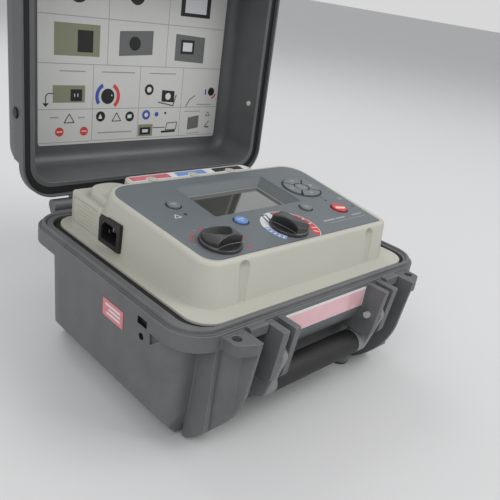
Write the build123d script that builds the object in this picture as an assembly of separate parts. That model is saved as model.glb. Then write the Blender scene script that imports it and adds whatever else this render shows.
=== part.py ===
from build123d import *
import math
import os

# An insulation resistance tester in a rugged hinged case.
# Millimetres, +Z up, front towards -Y. Everything is drawn about the middle of the case rim and is
# moved at the end so that the origin lies on the resting plane below the middle of the whole set.
# The lid, latches and their fittings are built in the closed position and then swung open.

# ---------------------------------------------------------------- driving dimensions
RIM_HALF_X = 157.5          # half width of the case over its rim
RIM_HALF_Y = 126.5          # half depth of the case over its rim
RIM_RADIUS = 32.0
SKIRT_LOW = 101.0           # underside of the rim skirt
SKIRT_TOP = 115.0
BEAD_TOP = 119.5
BEAD_OUT = 3.2              # the sealing bead stands this far inside the skirt
BEAD_WIDTH = 4.1
BODY_FRONT = -106.0
BODY_BACK = 107.0
BODY_LOW = 2.5              # the rubber feet lift the case by this much
CHAMFER_TOP = 30.0
BOTTOM_HALF_X = 131.0
BODY_TAPER = 2.0            # degrees of draft on the walls
WALL = 4.0
FRAME_SHIFT_Y = -29.6

HINGE_Y = 137.0
HINGE_Z = 120.0
HINGE_RADIUS = 6.5
PIN_RADIUS = 2.5
RUN_CLEARANCE = 0.05
LID_OPEN = 92.0             # degrees from closed to resting open
LID_LOW = 115.6
LID_TOP = 181.0
LID_SHOULDER = 136.0        # below this height the lid's walls lean in more

PANEL_TILT = 6.06           # degrees, rising to the back
PANEL_FRONT_Y = -90.0
PANEL_FRONT_Z = 155.0
FLANGE_HALF_X = 139.0
FLANGE_TOP = 118.3
FLANGE_THICK = 2.2
SHELL_THICK = 2.8

HANDLE_Y = -134.5
HANDLE_Z = 83.5
GRIP_Y = -122.5
GRIP_Z = 46.5
GRIP_RADIUS = 12.3
GRIP_HALF = 58.4
ARM_RADIUS = 10.3            # around the pin
ELBOW_RADIUS = 12.2          # where the arm meets the grip
ARM_X = 68.75
ARM_THICK = 6.0

PADLOCK_X = 117.3
PADLOCK_Y = -133.7
PADLOCK_RADIUS = 4.25
PADLOCK_THICK = 10.3
PADLOCK_PLAN = [(103.8, -118, 0.5), (103.8, -148.5, 1), (109, -148.5, 3), (124.8, -141, 7), (126, -118, 1)]

LATCH_X = 91.5
LATCH_Y = -137.0
LATCH_Z = 137.0
LATCH_WIDTH = 20.0
LATCH_OPEN = 95.0

KNOB_V = 21.6               # both knobs sit on one line along the panel's front
KNOB_LEFT_U = -85.3
KNOB_CENTRE_U = -2.3
KNOB_RADIUS = 18.7          # over the thin skirt
KNOB_BODY_RADIUS = 17.4
KNOB_HEIGHT = 11.6
KNOB_LEFT_TURN = 4.0
KNOB_CENTRE_TURN = -78.0

TERMINALS = {"terminal_red": -69.0, "terminal_blue": -18.5, "terminal_black": 31.0}
TERMINAL_Z = 159.0
TERMINAL_FACE_Y = 63.0

PANEL = Plane(
    origin=(0, PANEL_FRONT_Y, PANEL_FRONT_Z),
    x_dir=(1, 0, 0),
    z_dir=(0, -math.sin(math.radians(PANEL_TILT)), math.cos(math.radians(PANEL_TILT))),
)
PARTS = {}


# ---------------------------------------------------------------- helpers
def keep(name, *shapes):
    """Store one sub-part made of one or more separate solids."""
    solids = [solid for shape in shapes for solid in shape.solids()]
    PARTS[name] = solids[0] if len(solids) == 1 else Compound(children=solids)


def slab(half_x, y_front, y_back, radius, z_low, z_high):
    """A level plate with rounded corners."""
    face = Pos(0, (y_front + y_back) / 2, z_low) * RectangleRounded(2 * half_x, y_back - y_front, radius)
    return extrude(face, z_high - z_low)


def ring(half_x, y_front, y_back, radius, width, z_low, z_high):
    """A level frame of one width around a rounded rectangle."""
    outer = slab(half_x, y_front, y_back, radius, z_low, z_high)
    inner = slab(half_x - width, y_front + width, y_back - width, radius - width, z_low - 1, z_high + 1)
    return outer - inner


def rounded_face(corners):
    """A closed face through corners (x, y, radius) in the XY plane."""
    count = len(corners)
    rounds = []
    for index, (x, y, radius) in enumerate(corners):
        here = Vector(x, y)
        before = (Vector(*corners[index - 1][:2]) - here).normalized()
        after = (Vector(*corners[(index + 1) % count][:2]) - here).normalized()
        half = math.radians(before.get_angle(after)) / 2
        reach = radius / math.tan(half)
        inward = (before + after).normalized()
        middle = here + inward * (radius / math.sin(half) - radius)
        rounds.append((here + before * reach, middle, here + after * reach))
    edges = []
    for index, (start, middle, end) in enumerate(rounds):
        if corners[index][2] > 0:
            edges.append(ThreePointArc(start, middle, end))
        edges.append(Line(end, rounds[(index + 1) % count][0]))
    return make_face(edges)


def frustum(low, high):
    """A solid between two rounded outlines, each given as (corners, height)."""
    faces = [Pos(0, 0, height) * rounded_face(corners) for corners, height in (low, high)]
    return loft(faces, ruled=True)


def box_between(x0, x1, y0, y1, z0, z1):
    """A box given by its limits."""
    return Pos((x0 + x1) / 2, (y0 + y1) / 2, (z0 + z1) / 2) * Box(x1 - x0, y1 - y0, z1 - z0)


def rod(start, end, radius):
    """A round rod between two points."""
    axis = Vector(*end) - Vector(*start)
    return extrude(Plane(origin=start, z_dir=axis) * Circle(radius), axis.length)


def side_profile(points, x0, x1):
    """Extrude a closed outline of (y, z, radius) corners along X from x0 to x1."""
    face = Plane(origin=(x0, 0, 0), x_dir=(0, 1, 0), z_dir=(1, 0, 0)) * rounded_face(points)
    return extrude(face, x1 - x0)


def on_panel(u, v, w, shape):
    """Place a shape, built around its own origin, on the tilted panel."""
    return PANEL.location * (Pos(u, v, w) * shape)


def both_sides(shape):
    """A shape and its mirror image across the YZ plane."""
    return [shape, mirror(shape, Plane.YZ)]


def round_edges(shape, edges, radius):
    """Fillet the edges, with a smaller radius where the full one does not fit."""
    for size in (radius, radius * 0.6, radius * 0.3):
        try:
            rounded = fillet(edges, size)
        except Exception:
            continue
        if rounded.is_valid and rounded.volume > 0:
            return rounded
    return shape


# ---------------------------------------------------------------- base of the case
def body_solid(inset, top):
    """The slightly tapered body with bevelled lower edges; inset gives its cavity."""
    plan = rounded_face([
        (-157.0 + inset, BODY_FRONT + inset, 22 - inset), (157.0 - inset, BODY_FRONT + inset, 22 - inset),
        (157.0 - inset, BODY_BACK - inset, 48 - inset), (-157.0 + inset, BODY_BACK - inset, 48 - inset),
    ])
    floor = BODY_LOW + inset
    body = extrude(Pos(0, 0, SKIRT_LOW) * plan, -(SKIRT_LOW - floor), taper=BODY_TAPER)
    if top > SKIRT_LOW:
        body += extrude(Pos(0, 0, SKIRT_LOW) * plan, top - SKIRT_LOW)
    edge_x = 154.5 - inset
    across = [
        (-BOTTOM_HALF_X + inset, floor, 4), (BOTTOM_HALF_X - inset, floor, 4), (edge_x, CHAMFER_TOP, 0),
        (edge_x + 10, top + 5, 0), (-edge_x - 10, top + 5, 0), (-edge_x, CHAMFER_TOP, 0),
    ]
    front_view = extrude(Plane(origin=(0, 200, 0), x_dir=(1, 0, 0), z_dir=(0, -1, 0)) * rounded_face(across), 400)
    along = [
        (-96.0 + inset, floor, 4), (97.0 - inset, floor, 4), (105.0 - inset, CHAMFER_TOP, 0),
        (115.0, top + 5, 0), (-115.0, top + 5, 0), (-104.0 + inset, CHAMFER_TOP, 0),
    ]
    return body & front_view & side_profile(along, -200, 200)


def outer_rib():
    """The big curved rib at the right front corner, with its padlock boss."""
    wedge_plan = Polyline(
        (103.8, -100), (103.8, -150), (105.6, -150), (109, -134), (121, -122),
        (124, -122), (124, -125), (128, -125), (128, -100), close=True,
    )
    wedge = extrude(Pos(0, 0, BODY_LOW) * make_face(wedge_plan), 112.8 - BODY_LOW)
    front_curve = [
        Line((-90, BODY_LOW), (-104.5, BODY_LOW)),
        ThreePointArc((-104.5, BODY_LOW), (-131.8, 32), (-142.5, 60)),
        Line((-142.5, 60), (-148.5, 112.8)),
        Line((-148.5, 112.8), (-90, 112.8)),
        Line((-90, 112.8), (-90, BODY_LOW)),
    ]
    cutter = Plane(origin=(100, 0, 0), x_dir=(0, 1, 0), z_dir=(1, 0, 0)) * make_face(front_curve)
    boss = Pos(0, 0, 112.8 - PADLOCK_THICK) * extrude(rounded_face(PADLOCK_PLAN), PADLOCK_THICK)
    hole = Pos(PADLOCK_X, PADLOCK_Y, 90) * Cylinder(PADLOCK_RADIUS, 60)
    return ((wedge & extrude(cutter, 40)) + (boss & extrude(cutter, 40))) - hole


def handle_plate(x0, x1):
    """One of the plates that carry a handle pin."""
    profile = [(-100, 112.6, 1), (-147, 112.6, 1.5), (-141.6, 59.5, 9), (-100, 59.5, 1)]
    return side_profile(profile, x0, x1)


def brow():
    """The block under the rim between the inner plates, which carries the front label."""
    outline = [
        Line((-100, 112), (-126.5, 112)),
        Line((-126.5, 112), (-126.5, 90)),
        ThreePointArc((-126.5, 90), (-122.2, 77), (-111, 66)),
        Line((-111, 66), (-100, 62)),
        Line((-100, 62), (-100, 112)),
    ]
    face = Plane(origin=(-60, 0, 0), x_dir=(0, 1, 0), z_dir=(1, 0, 0)) * make_face(outline)
    return extrude(face, 120)


def catch_lip():
    """The lip under which a latch hooks."""
    profile = [(-120, 114.6, 0.5), (-132.2, 114.6, 1.5), (-132.2, 105.2, 1), (-128.6, 105.2, 0.5), (-120, 108, 0.5)]
    return side_profile(profile, LATCH_X - 9.7, LATCH_X + 9.7)


def base_knuckle(x0, x1):
    """A hinge knuckle carried by the rim at the back."""
    arm = side_profile(
        [(120, 102, 0.5), (120, 114.6, 0.5), (129, 114.8, 0.5), (131.8, 116.4, 0.5), (137, 121, 0.5),
         (142.2, 116.2, 0.5), (133, 102, 1)], x0, x1,
    )
    return arm + rod((x0, HINGE_Y, HINGE_Z), (x1, HINGE_Y, HINGE_Z), HINGE_RADIUS)


def make_base_shell():
    shell = body_solid(0, SKIRT_LOW + 3)
    shell += slab(RIM_HALF_X, -RIM_HALF_Y, RIM_HALF_Y, RIM_RADIUS, SKIRT_LOW, SKIRT_TOP)
    bead_x = RIM_HALF_X - BEAD_OUT
    bead_y = RIM_HALF_Y - BEAD_OUT
    bead = ring(bead_x, -bead_y, bead_y, RIM_RADIUS - BEAD_OUT, BEAD_WIDTH, SKIRT_TOP - 1, BEAD_TOP)
    bead = round_edges(bead, bead.edges().group_by(Axis.Z)[-1], 1.8)
    shell += bead
    band_x = bead_x - BEAD_WIDTH - 0.8
    shell += slab(band_x, -bead_y + BEAD_WIDTH + 0.2, bead_y - BEAD_WIDTH - 0.8, 24, SKIRT_TOP - 1, 118.0)
    for rib in both_sides(outer_rib()):
        shell += rib
    for x0, x1 in ((59.1, 65.2), (72.3, 79.5)):
        for plate in both_sides(handle_plate(x0, x1)):
            shell += plate
    for lip in both_sides(catch_lip()):
        shell += lip
    shell += brow()
    for x0, x1 in ((100.4, 126.0), (34.0, 59.6)):
        for knuckle in both_sides(base_knuckle(x0, x1)):
            shell += knuckle
        for gusset in both_sides(side_profile([(100, 70, 1), (124, 101.5, 1), (100, 101.5, 1)], x0 + 9, x0 + 14)):
            shell += gusset
    # foot bosses at the front stand a little proud of the chamfer
    for x in (-87, 87):
        shell += Pos(x, FRONT_FOOT_Y, BODY_LOW + 6) * Cylinder(10.4, 12)
    # hollow it
    shell -= body_solid(WALL, SKIRT_LOW + 3)
    pocket_front = -bead_y + BEAD_WIDTH
    shell -= slab(145.5, pocket_front, 114.5, 24, SKIRT_LOW + 3, 125)
    # bosses for the long case screws
    for x in (-CASE_SCREW_X, CASE_SCREW_X):
        for y in CASE_SCREW_YS:
            shell += Pos(x, y, (BODY_LOW + 2 + 58) / 2) * Cylinder(6.5, 58 - BODY_LOW - 2)
            shell -= Pos(x, y, 35) * Cylinder(2.3, 80)
            shell -= Pos(x, y, 0) * Cylinder(5, 2 * 12.05)
    # pin bores
    for side in (-1, 1):
        shell -= rod((side * 55, HANDLE_Y, HANDLE_Z), (side * 78, HANDLE_Y, HANDLE_Z), PIN_RADIUS + RUN_CLEARANCE)
        shell -= rod((side * 30, HINGE_Y, HINGE_Z), (side * 124, HINGE_Y, HINGE_Z), PIN_RADIUS + RUN_CLEARANCE)
    # moulded marks on the left wall: a slot, a round dimple and a triangle
    wall_x = -156.6
    shell -= box_between(wall_x - 3, wall_x + 2.8, -77, -64, 101.3, 108.3)
    shell -= Pos(wall_x, -70, 91.6) * Rot(0, 90, 0) * Cylinder(3, 6)
    triangle = Plane(origin=(wall_x - 2, 0, 0), x_dir=(0, 1, 0), z_dir=(1, 0, 0)) * make_face(
        Polyline((-80, 100.3), (-81, 89.5), (-95, 101.2), close=True)
    )
    shell -= extrude(triangle, 4.6)
    keep("base_shell", shell)


FRONT_FOOT_Y = -98.0
CASE_SCREW_X = 112.0
CASE_SCREW_YS = (-62.0, 66.0)
FOOT_SPOTS = ((-87, FRONT_FOOT_Y), (87, FRONT_FOOT_Y), (-100, 80), (100, 80))


def make_base_fittings():
    feet = []
    for x, y in FOOT_SPOTS:
        foot = Pos(x, y, BODY_LOW / 2) * Cylinder(10, BODY_LOW)
        feet.append(round_edges(foot, foot.edges().group_by(Axis.Z)[0], 1.2))
    keep("base_feet", *feet)
    keep("front_label", box_between(-56, 56, -127.1, -126.5, 91, 110.8))
    tilt = math.degrees(math.atan(2.5 / (SKIRT_LOW - CHAMFER_TOP)))
    label = Pos(-156.95, -29.7, 91.5) * Rot(0, -tilt, 0) * Box(0.4, 30, 16.5)
    keep("side_label", label)
    pins = []
    for side in (-1, 1):
        pin = rod((side * 55.5, HANDLE_Y, HANDLE_Z), (side * 77.8, HANDLE_Y, HANDLE_Z), PIN_RADIUS)
        head = rod((side * 55.5, HANDLE_Y, HANDLE_Z), (side * 58.9, HANDLE_Y, HANDLE_Z), 3.2)
        pins.append(pin + head)
    keep("handle_pins", *pins)
    hinge_pins = []
    for side in (-1, 1):
        hinge_pins.append(rod((side * 34.5, HINGE_Y, HINGE_Z), (side * 123.8, HINGE_Y, HINGE_Z), PIN_RADIUS))
    keep("hinge_pins", *hinge_pins)
    screws = []
    for x in (-CASE_SCREW_X, CASE_SCREW_X):
        for y in CASE_SCREW_YS:
            shank = Pos(x, y, 12) * extrude(Circle(2), 70)
            head = Pos(x, y, 8.2) * extrude(Circle(3.8), 3.8)
            socket = Pos(x, y, 7) * extrude(RegularPolygon(1.6, 6), 3.2)
            screws.append(shank + head - socket)
    keep("case_screws", *screws)


# ---------------------------------------------------------------- instrument panel
def raised_body(inset):
    """The raised, tilted body of the instrument; inset gives its cavity."""
    foot = [
        (-124.5 + inset, -102.7 + inset, 22), (124.0 - inset, -102.7 + inset, 24),
        (127.5 - inset, 66 - inset, 24), (-127.5 + inset, 66 - inset, 24),
    ]
    top = [
        (-118.5 + inset, -4.2 + inset, 17), (122.0 - inset, -4.2 + inset, 10),
        (128.0 - inset, 142.2 - inset, 24), (-128.0 + inset, 142.2 - inset, 24),
    ]
    low_z = FLANGE_TOP - FLANGE_THICK - (1 if inset else 0)
    low_face = Pos(0, 0, low_z) * rounded_face(foot)
    top_face = PANEL.location * (Pos(0, 0, -inset) * rounded_face(top))
    return loft([low_face, top_face], ruled=True)


def overlay_face(grow):
    """The outline of the slate fascia on the panel's top."""
    return rounded_face([
        (-113.5 - grow, 0 - grow, 14 + grow), (113.5 + grow, 0 - grow, 3 + grow),
        (124.2 + grow, 137.6 + grow, 22 + grow), (-124.2 - grow, 137.6 + grow, 22 + grow),
    ])


def display_funnel(w_top, w_low, grow):
    """The sloped opening down to the display."""
    top = [(-58 - grow, 60.5 - grow, 2), (58 + grow, 60.5 - grow, 2), (58 + grow, 123.6 + grow, 2), (-58 - grow, 123.6 + grow, 2)]
    low = [(-49 - grow, 72 - grow, 1), (49 + grow, 72 - grow, 1), (49 + grow, 117 + grow, 1), (-49 - grow, 117 + grow, 1)]
    faces = [Pos(0, 0, w) * rounded_face(corners) for corners, w in ((top, w_top), (low, w_low))]
    return loft(faces, ruled=True)


# name: (u, v, radius); the round press buttons
BUTTONS = {
    "button_backlight": (-82.3, 90.3, 6.2),
    "button_mode": (-39.5, 46.8, 6.5),
    "button_set": (49.5, 47.6, 6.2),
    "button_test": (87.9, 35.2, 8.2),
}
ARROW_CENTRE = (84.5, 86.0)
ARROW_INNER = 8.0
ARROW_OUTER = 20.5
ARROW_SPOTS = {"arrow_right": 0, "arrow_up": 90, "arrow_left": 180, "arrow_down": 270}
LED_SPOTS = ((-82.2, 73.1), (88.5, 54.3), (110.2, 35.0))
BUTTON_GAP = 0.4
BUTTON_PROUD = 1.8
BUTTON_TRAVEL = 1.0


def arrow_face(angle, grow):
    """A quarter petal of the arrow cluster, pointing at the angle."""
    inner = ARROW_INNER + 1.0 - grow
    outer = ARROW_OUTER + grow
    half = 41 if grow == 0 else 43.5

    def spot(radius, turn):
        """A point at a radius and an angle from the petal's middle."""
        way = math.radians(angle + turn)
        return (radius * math.cos(way), radius * math.sin(way))

    return make_face([
        ThreePointArc(spot(inner, -half), spot(inner, 0), spot(inner, half)),
        Line(spot(inner, half), spot(outer, half)),
        ThreePointArc(spot(outer, half), spot(outer, 0), spot(outer, -half)),
        Line(spot(outer, -half), spot(inner, -half)),
    ])


def control_openings(w_low, w_high):
    """Everything that is cut through the panel's top for knobs, buttons and lights."""
    tools = []
    height = w_high - w_low
    for u, v, radius in BUTTONS.values():
        tools.append(on_panel(u, v, w_low, extrude(Circle(radius + BUTTON_GAP), height)))
    for angle in ARROW_SPOTS.values():
        tools.append(on_panel(*ARROW_CENTRE, w_low, extrude(arrow_face(angle, BUTTON_GAP), height)))
    tools.append(on_panel(*ARROW_CENTRE, w_low, extrude(Circle(ARROW_INNER), height)))
    for u in (KNOB_LEFT_U, KNOB_CENTRE_U):
        tools.append(on_panel(u, KNOB_V, w_low, extrude(Circle(4.2), height)))
    for u, v in LED_SPOTS:
        tools.append(on_panel(u, v, w_low, extrude(Circle(1.6), height)))
    return tools


OVERLAY_THICK = 1.2
FLUTES = ((-85.6, -81.0), (84.0, 88.8))    # x at the foot and at the top of each front flute


def front_flute(x_low, x_top, grow):
    """A round groove up the front wall that widens towards the top and ends in a ball."""
    low = Vector(x_low, -104.5, 112)
    top = Vector(x_top, -98.1, 147)
    length = (top - low).length
    small = 3.1 + grow
    large = 6.4 + grow
    outline = make_face([
        Line((0, 0), (small, 0)),
        Line((small, 0), (large, length)),
        ThreePointArc((large, length), (large * 0.7071, length + large * 0.7071), (0, length + large)),
        Line((0, length + large), (0, 0)),
    ])
    spun = revolve(Plane.XZ * outline, Axis.Z)
    return Plane(origin=low, z_dir=top - low) * spun


def make_panel():
    body = raised_body(0)
    shoulder = body.edges().filter_by(lambda edge: edge.center().Z > 140 and abs(edge.tangent_at(0.5).Z) < 0.3)
    body = round_edges(body, shoulder, 4.0)
    # rear deck, lower than the top, and the stepped ledges of the left back corner
    deck = slab(128, 30, 97, 5, FLANGE_TOP - 1, 148.5)
    deck = round_edges(deck, deck.edges().group_by(Axis.Z)[-1], 2.0)
    corner = slab(16, 44, 97, 5, 140, 151.5)
    corner = Pos(-112, 0, 0) * round_edges(corner, corner.edges().group_by(Axis.Z)[-1], 2.0)
    ledge = slab(21, 10, 87, 19, 140, 159.0)
    ledge = Pos(-100.5, 0, 0) * round_edges(ledge, ledge.edges().group_by(Axis.Z)[-1], 3.5)
    tab_face = rounded_face([(-96, 120, 2), (61, 120, 2), (61, 153.8, 9), (-96, 153.8, 9)])
    tab = on_panel(0, 0, -22, extrude(tab_face, 22))
    tab -= box_between(-100, 65, TERMINAL_FACE_Y, 75, 140, 175)
    tab = round_edges(tab, [edge for edge in tab.edges() if edge.center().Z > 165 and abs(edge.tangent_at(0.5).Z) < 0.3], 1.2)
    housing = body + deck + corner + ledge + tab
    # two flutes in the front wall
    for x_low, x_top in FLUTES:
        housing -= front_flute(x_low, x_top, 0)
    housing += slab(FLANGE_HALF_X, -117.5, 110.5, 22, FLANGE_TOP - FLANGE_THICK, FLANGE_TOP)
    # cavities; the wall stays whole behind the flutes
    cavity = raised_body(SHELL_THICK)
    for x_low, x_top in FLUTES:
        cavity -= front_flute(x_low, x_top, 2.3)
    housing -= cavity
    housing -= slab(128 - SHELL_THICK, 30 + SHELL_THICK, 97 - SHELL_THICK, 3, 110, 148.5 - SHELL_THICK)
    # seat of the fascia, display opening and controls
    housing -= on_panel(0, 0, -OVERLAY_THICK, extrude(overlay_face(0.15), 10))
    housing -= PANEL.location * extrude(
        Pos(0, 0, -14) * rounded_face([(-61, 57.5, 3), (61, 57.5, 3), (61, 127, 3), (-61, 127, 3)]), 20
    )
    for tool in control_openings(-14, 6):
        housing -= tool
    # mains inlet cut-out, terminal bores
    housing -= box_between(-135, -105, INLET_Y - 14, INLET_Y + 14, INLET_Z - 10.4, INLET_Z + 10.4)
    housing -= box_between(-135, -125.3, INLET_Y - 16.8, INLET_Y + 16.8, INLET_Z - 13.2, INLET_Z + 13.2)
    for u in TERMINALS.values():
        housing -= rod((u, 40, TERMINAL_Z), (u, 80, TERMINAL_Z), 6.6)
    # rating plate seat on the left wall
    housing -= box_between(-130, -127.3, 49, 91, 122.5, 147)
    # pillars for the case screws
    for x in (-CASE_SCREW_X, CASE_SCREW_X):
        for y in CASE_SCREW_YS:
            under_top = PANEL_FRONT_Z + (y - PANEL_FRONT_Y) * math.tan(math.radians(PANEL_TILT)) - 2.2
            pillar_top = under_top if y < 0 else 147.0
            pillar = Pos(x, y, 58.5) * extrude(Circle(5.5), pillar_top - 58.5)
            pillar -= Pos(x, y, 50) * extrude(Circle(2.05), 36)
            housing += pillar
    # bosses that carry the keypad board
    for u, v in KEYPAD_SCREWS:
        boss = on_panel(u, v, KEYPAD_W, extrude(Circle(3.2), -KEYPAD_W - 2))
        boss -= on_panel(u, v, KEYPAD_W - 1, extrude(Circle(1.3), 8))
        housing += boss
    keep("panel_housing", housing)

    fascia = extrude(Pos(0, 0, -OVERLAY_THICK) * overlay_face(0), OVERLAY_THICK)
    funnel_wall = display_funnel(0, DISPLAY_W, 1.2) - display_funnel(0.02, DISPLAY_W - 0.02, 0)
    fascia = PANEL.location * ((fascia - display_funnel(0.5, DISPLAY_W - 3, 0)) + funnel_wall)
    for tool in control_openings(-6, 6):
        fascia -= tool
    keep("panel_overlay", fascia)
    gasket = ring(143.5, -117.3, 112.0, 22, 9, 108.0, FLANGE_TOP - FLANGE_THICK)
    keep("panel_gasket", gasket & slab(145.3, -118.9, 114.3, 24, 108, 117))


DISPLAY_W = -9.0
KEYPAD_W = -14.5
SWITCH_HEIGHT = 4.6
KEYPAD_SCREWS = ((-105, 20), (-105, 112), (105, 112), (108, 14), (-30, 12), (26, 50))
MAIN_W = -42.0


def make_display():
    window = PANEL.location * extrude(Pos(0, 0, DISPLAY_W - 2.0) * Pos(0, 94.5) * RectangleRounded(100, 47.5, 1.5), 2.0)
    keep("display_window", window)
    module = PANEL.location * extrude(Pos(0, 0, DISPLAY_W - 7.5) * Pos(0, 94.5) * Rectangle(108, 56), 5.3)
    keep("lcd_module", module)


# ---------------------------------------------------------------- mains inlet and terminals
INLET_Y = 27.4
INLET_Z = 134.3


def make_inlet():
    plate = side_profile(
        [(INLET_Y - 16.6, INLET_Z - 13.0, 1), (INLET_Y + 16.6, INLET_Z - 13.0, 1),
         (INLET_Y + 16.6, INLET_Z + 9.5, 1), (INLET_Y + 13.1, INLET_Z + 13.0, 1),
         (INLET_Y - 16.6, INLET_Z + 13.0, 1)], -128.9, -125.4,
    )
    shroud = side_profile(
        [(INLET_Y - 13.7, INLET_Z - 10.2, 1), (INLET_Y + 13.7, INLET_Z - 10.2, 1),
         (INLET_Y + 13.7, INLET_Z + 10.2, 1), (INLET_Y - 13.7, INLET_Z + 10.2, 1)], -126, -104,
    )
    cavity = side_profile(
        [(INLET_Y - 12.2, INLET_Z - 8.3, 1), (INLET_Y + 12.2, INLET_Z - 8.3, 1),
         (INLET_Y + 12.2, INLET_Z + 3.3, 1), (INLET_Y + 7.2, INLET_Z + 8.3, 1),
         (INLET_Y - 7.2, INLET_Z + 8.3, 1), (INLET_Y - 12.2, INLET_Z + 3.3, 1)], -135, -109,
    )
    body = plate + shroud - cavity
    pins = []
    for dy, dz in ((-7, -1.5), (7, -1.5), (0, 2.5)):
        y = INLET_Y + dy
        z = INLET_Z + dz
        body -= box_between(-112, -100, y - 1.05, y + 1.05, z - 2.05, z + 2.05)
        pins.append(box_between(-124, -97, y - 1, y + 1, z - 2, z + 2))
    keep("mains_inlet", body)
    keep("inlet_pins", *pins)
    keep("rating_plate", box_between(-127.9, -127.3, 49.3, 90.7, 122.8, 146.7))


def make_terminals():
    contacts = []
    for name, u in TERMINALS.items():
        sleeve = rod((u, 41, TERMINAL_Z), (u, TERMINAL_FACE_Y + 1, TERMINAL_Z), 6.5)
        sleeve += rod((u, TERMINAL_FACE_Y + 0.02, TERMINAL_Z), (u, TERMINAL_FACE_Y + 2.4, TERMINAL_Z), 7.6)
        sleeve -= rod((u, 46, TERMINAL_Z), (u, 70, TERMINAL_Z), 5.2)
        sleeve -= rod((u, 30, TERMINAL_Z), (u, 50, TERMINAL_Z), 3.0)
        keep(name, sleeve)
        contact = rod((u, 34, TERMINAL_Z), (u, TERMINAL_FACE_Y - 6, TERMINAL_Z), 2.95)
        contact -= rod((u, 44, TERMINAL_Z), (u, 70, TERMINAL_Z), 2.0)
        contacts.append(contact)
    keep("terminal_contacts", *contacts)
    strip = rounded_face([(-92.5, 141.8, 2), (57.5, 141.8, 2), (57.5, 151.8, 6), (-92.5, 151.8, 6)])
    strip = extrude(strip, 0.35)
    for u in TERMINALS.values():
        strip -= Pos(u, 141.0, -1) * extrude(Circle(5.6), 3)
    keep("terminal_label", PANEL.location * strip)


# ---------------------------------------------------------------- electronics
def board(u0, u1, v0, v1, w, holes, radius):
    """A circuit board parallel to the panel, with round clearance holes."""
    plate = extrude(Pos((u0 + u1) / 2, (v0 + v1) / 2, w) * RectangleRounded(u1 - u0, v1 - v0, 3), 1.6)
    for u, v in holes:
        plate -= Pos(u, v, w - 1) * extrude(Circle(radius), 4)
    return plate


def make_electronics():
    keypad = board(-110, 113, 6, 130, KEYPAD_W - 1.6, KEYPAD_SCREWS, 1.6)
    keypad -= Pos(0, 94.5, KEYPAD_W - 3) * extrude(RectangleRounded(110, 58, 2), 6)
    for u in (KNOB_LEFT_U, KNOB_CENTRE_U):
        keypad -= Pos(u, KNOB_V, KEYPAD_W - 3) * extrude(Circle(4), 6)
    for x in (-CASE_SCREW_X, CASE_SCREW_X):
        for y in CASE_SCREW_YS:
            v = (y - PANEL_FRONT_Y) / math.cos(math.radians(PANEL_TILT))
            keypad -= Pos(x, v - 2, KEYPAD_W - 3) * extrude(Circle(8), 6)
    keep("keypad_board", PANEL.location * keypad)
    switches = []
    lights = []
    for u, v, _ in BUTTONS.values():
        switches.append(on_panel(u, v, KEYPAD_W, switch_body()))
    for angle in ARROW_SPOTS.values():
        spot = Rot(0, 0, angle) * Pos(14.5, 0, 0)
        switches.append(on_panel(*ARROW_CENTRE, KEYPAD_W, spot * switch_body()))
    switches.append(on_panel(*ARROW_CENTRE, KEYPAD_W, switch_body()))
    keep("tact_switches", *switches)
    for u, v in LED_SPOTS:
        lights.append(on_panel(u, v, KEYPAD_W, extrude(Circle(1.45), -KEYPAD_W + 0.3)))
    keep("status_leds", *lights)
    rotary = []
    for u in (KNOB_LEFT_U, KNOB_CENTRE_U):
        body = Pos(0, 0, KEYPAD_W - 14) * extrude(RectangleRounded(22, 22, 3), 12.4)
        body -= Pos(0, 0, KEYPAD_W - 15) * extrude(Circle(3.06), 20)
        rotary.append(on_panel(u, KNOB_V, 0, body))
    keep("rotary_switches", *rotary)

    standoff_spots = ((-98, 50), (98, 68), (-60, 8.5), (60, 12))
    stands = [
        on_panel(u, v, MAIN_W + 1.6, extrude(RegularPolygon(3.2, 6), KEYPAD_W - 1.6 - MAIN_W - 1.6))
        for u, v in standoff_spots
    ]
    keep("board_standoffs", *stands)
    main = board(-104, 104, 4, 136, MAIN_W, (), 1)
    for u, v in ((-92, 20), (-92, 110), (92, 110), (92, 20)):
        main -= Pos(u, v, MAIN_W - 1) * extrude(Circle(1.7), 4)
    keep("main_board", PANEL.location * main)
    screws = []
    for u, v in KEYPAD_SCREWS:
        shank = extrude(Pos(0, 0, KEYPAD_W - 1.6) * Circle(1.25), 7)
        head = extrude(Pos(0, 0, KEYPAD_W - 3.4) * Circle(2.6), 1.8)
        screws.append(on_panel(u, v, 0, shank + head))
    keep("board_screws", *screws)


def switch_body():
    """A tactile switch: square body and a round plunger."""
    return extrude(Rectangle(6, 6), 3.6) + extrude(Circle(1.7), SWITCH_HEIGHT)


def make_power():
    floor = BODY_LOW + WALL
    base = box_between(-88, -8, -78, -70 + 92, 34, 35.6)
    keep("power_board", base)
    legs = [Pos(x, y, (floor + 34) / 2) * Cylinder(3, 34 - floor) for x in (-84, -12) for y in (-73, 17)]
    keep("board_legs", *legs)
    coil = Pos(-62, -48, 35.6) * extrude(RectangleRounded(38, 32, 3), 26)
    caps = [Pos(-28, y, 35.6) * extrude(Circle(8), 28) for y in (-58, -36)]
    keep("mains_transformer", coil)
    keep("power_capacitors", *caps)
    keep("mains_fuse", rod((-80, -5, 40.4), (-60, -5, 40.4), 2.6), )
    clips = [box_between(x - 1.5, x + 1.5, -9, -1, 35.6, 37.7) for x in (-78, -62)]
    keep("fuse_clips", *clips)
    keep("high_voltage_module", Pos(52, -38, floor) * extrude(RectangleRounded(92, 74, 4), 48))
    cells = Pos(0, 58, floor) * extrude(RectangleRounded(158, 54, 6), 40)
    keep("battery_pack", cells)
    strap = side_profile([(29, floor, 0), (87, floor, 0), (87, floor + 42, 0), (29, floor + 42, 0)], -14, 14)
    strap -= box_between(-20, 20, 30.6, 85.4, floor - 1, floor + 40.3)
    keep("battery_strap", strap)


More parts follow.
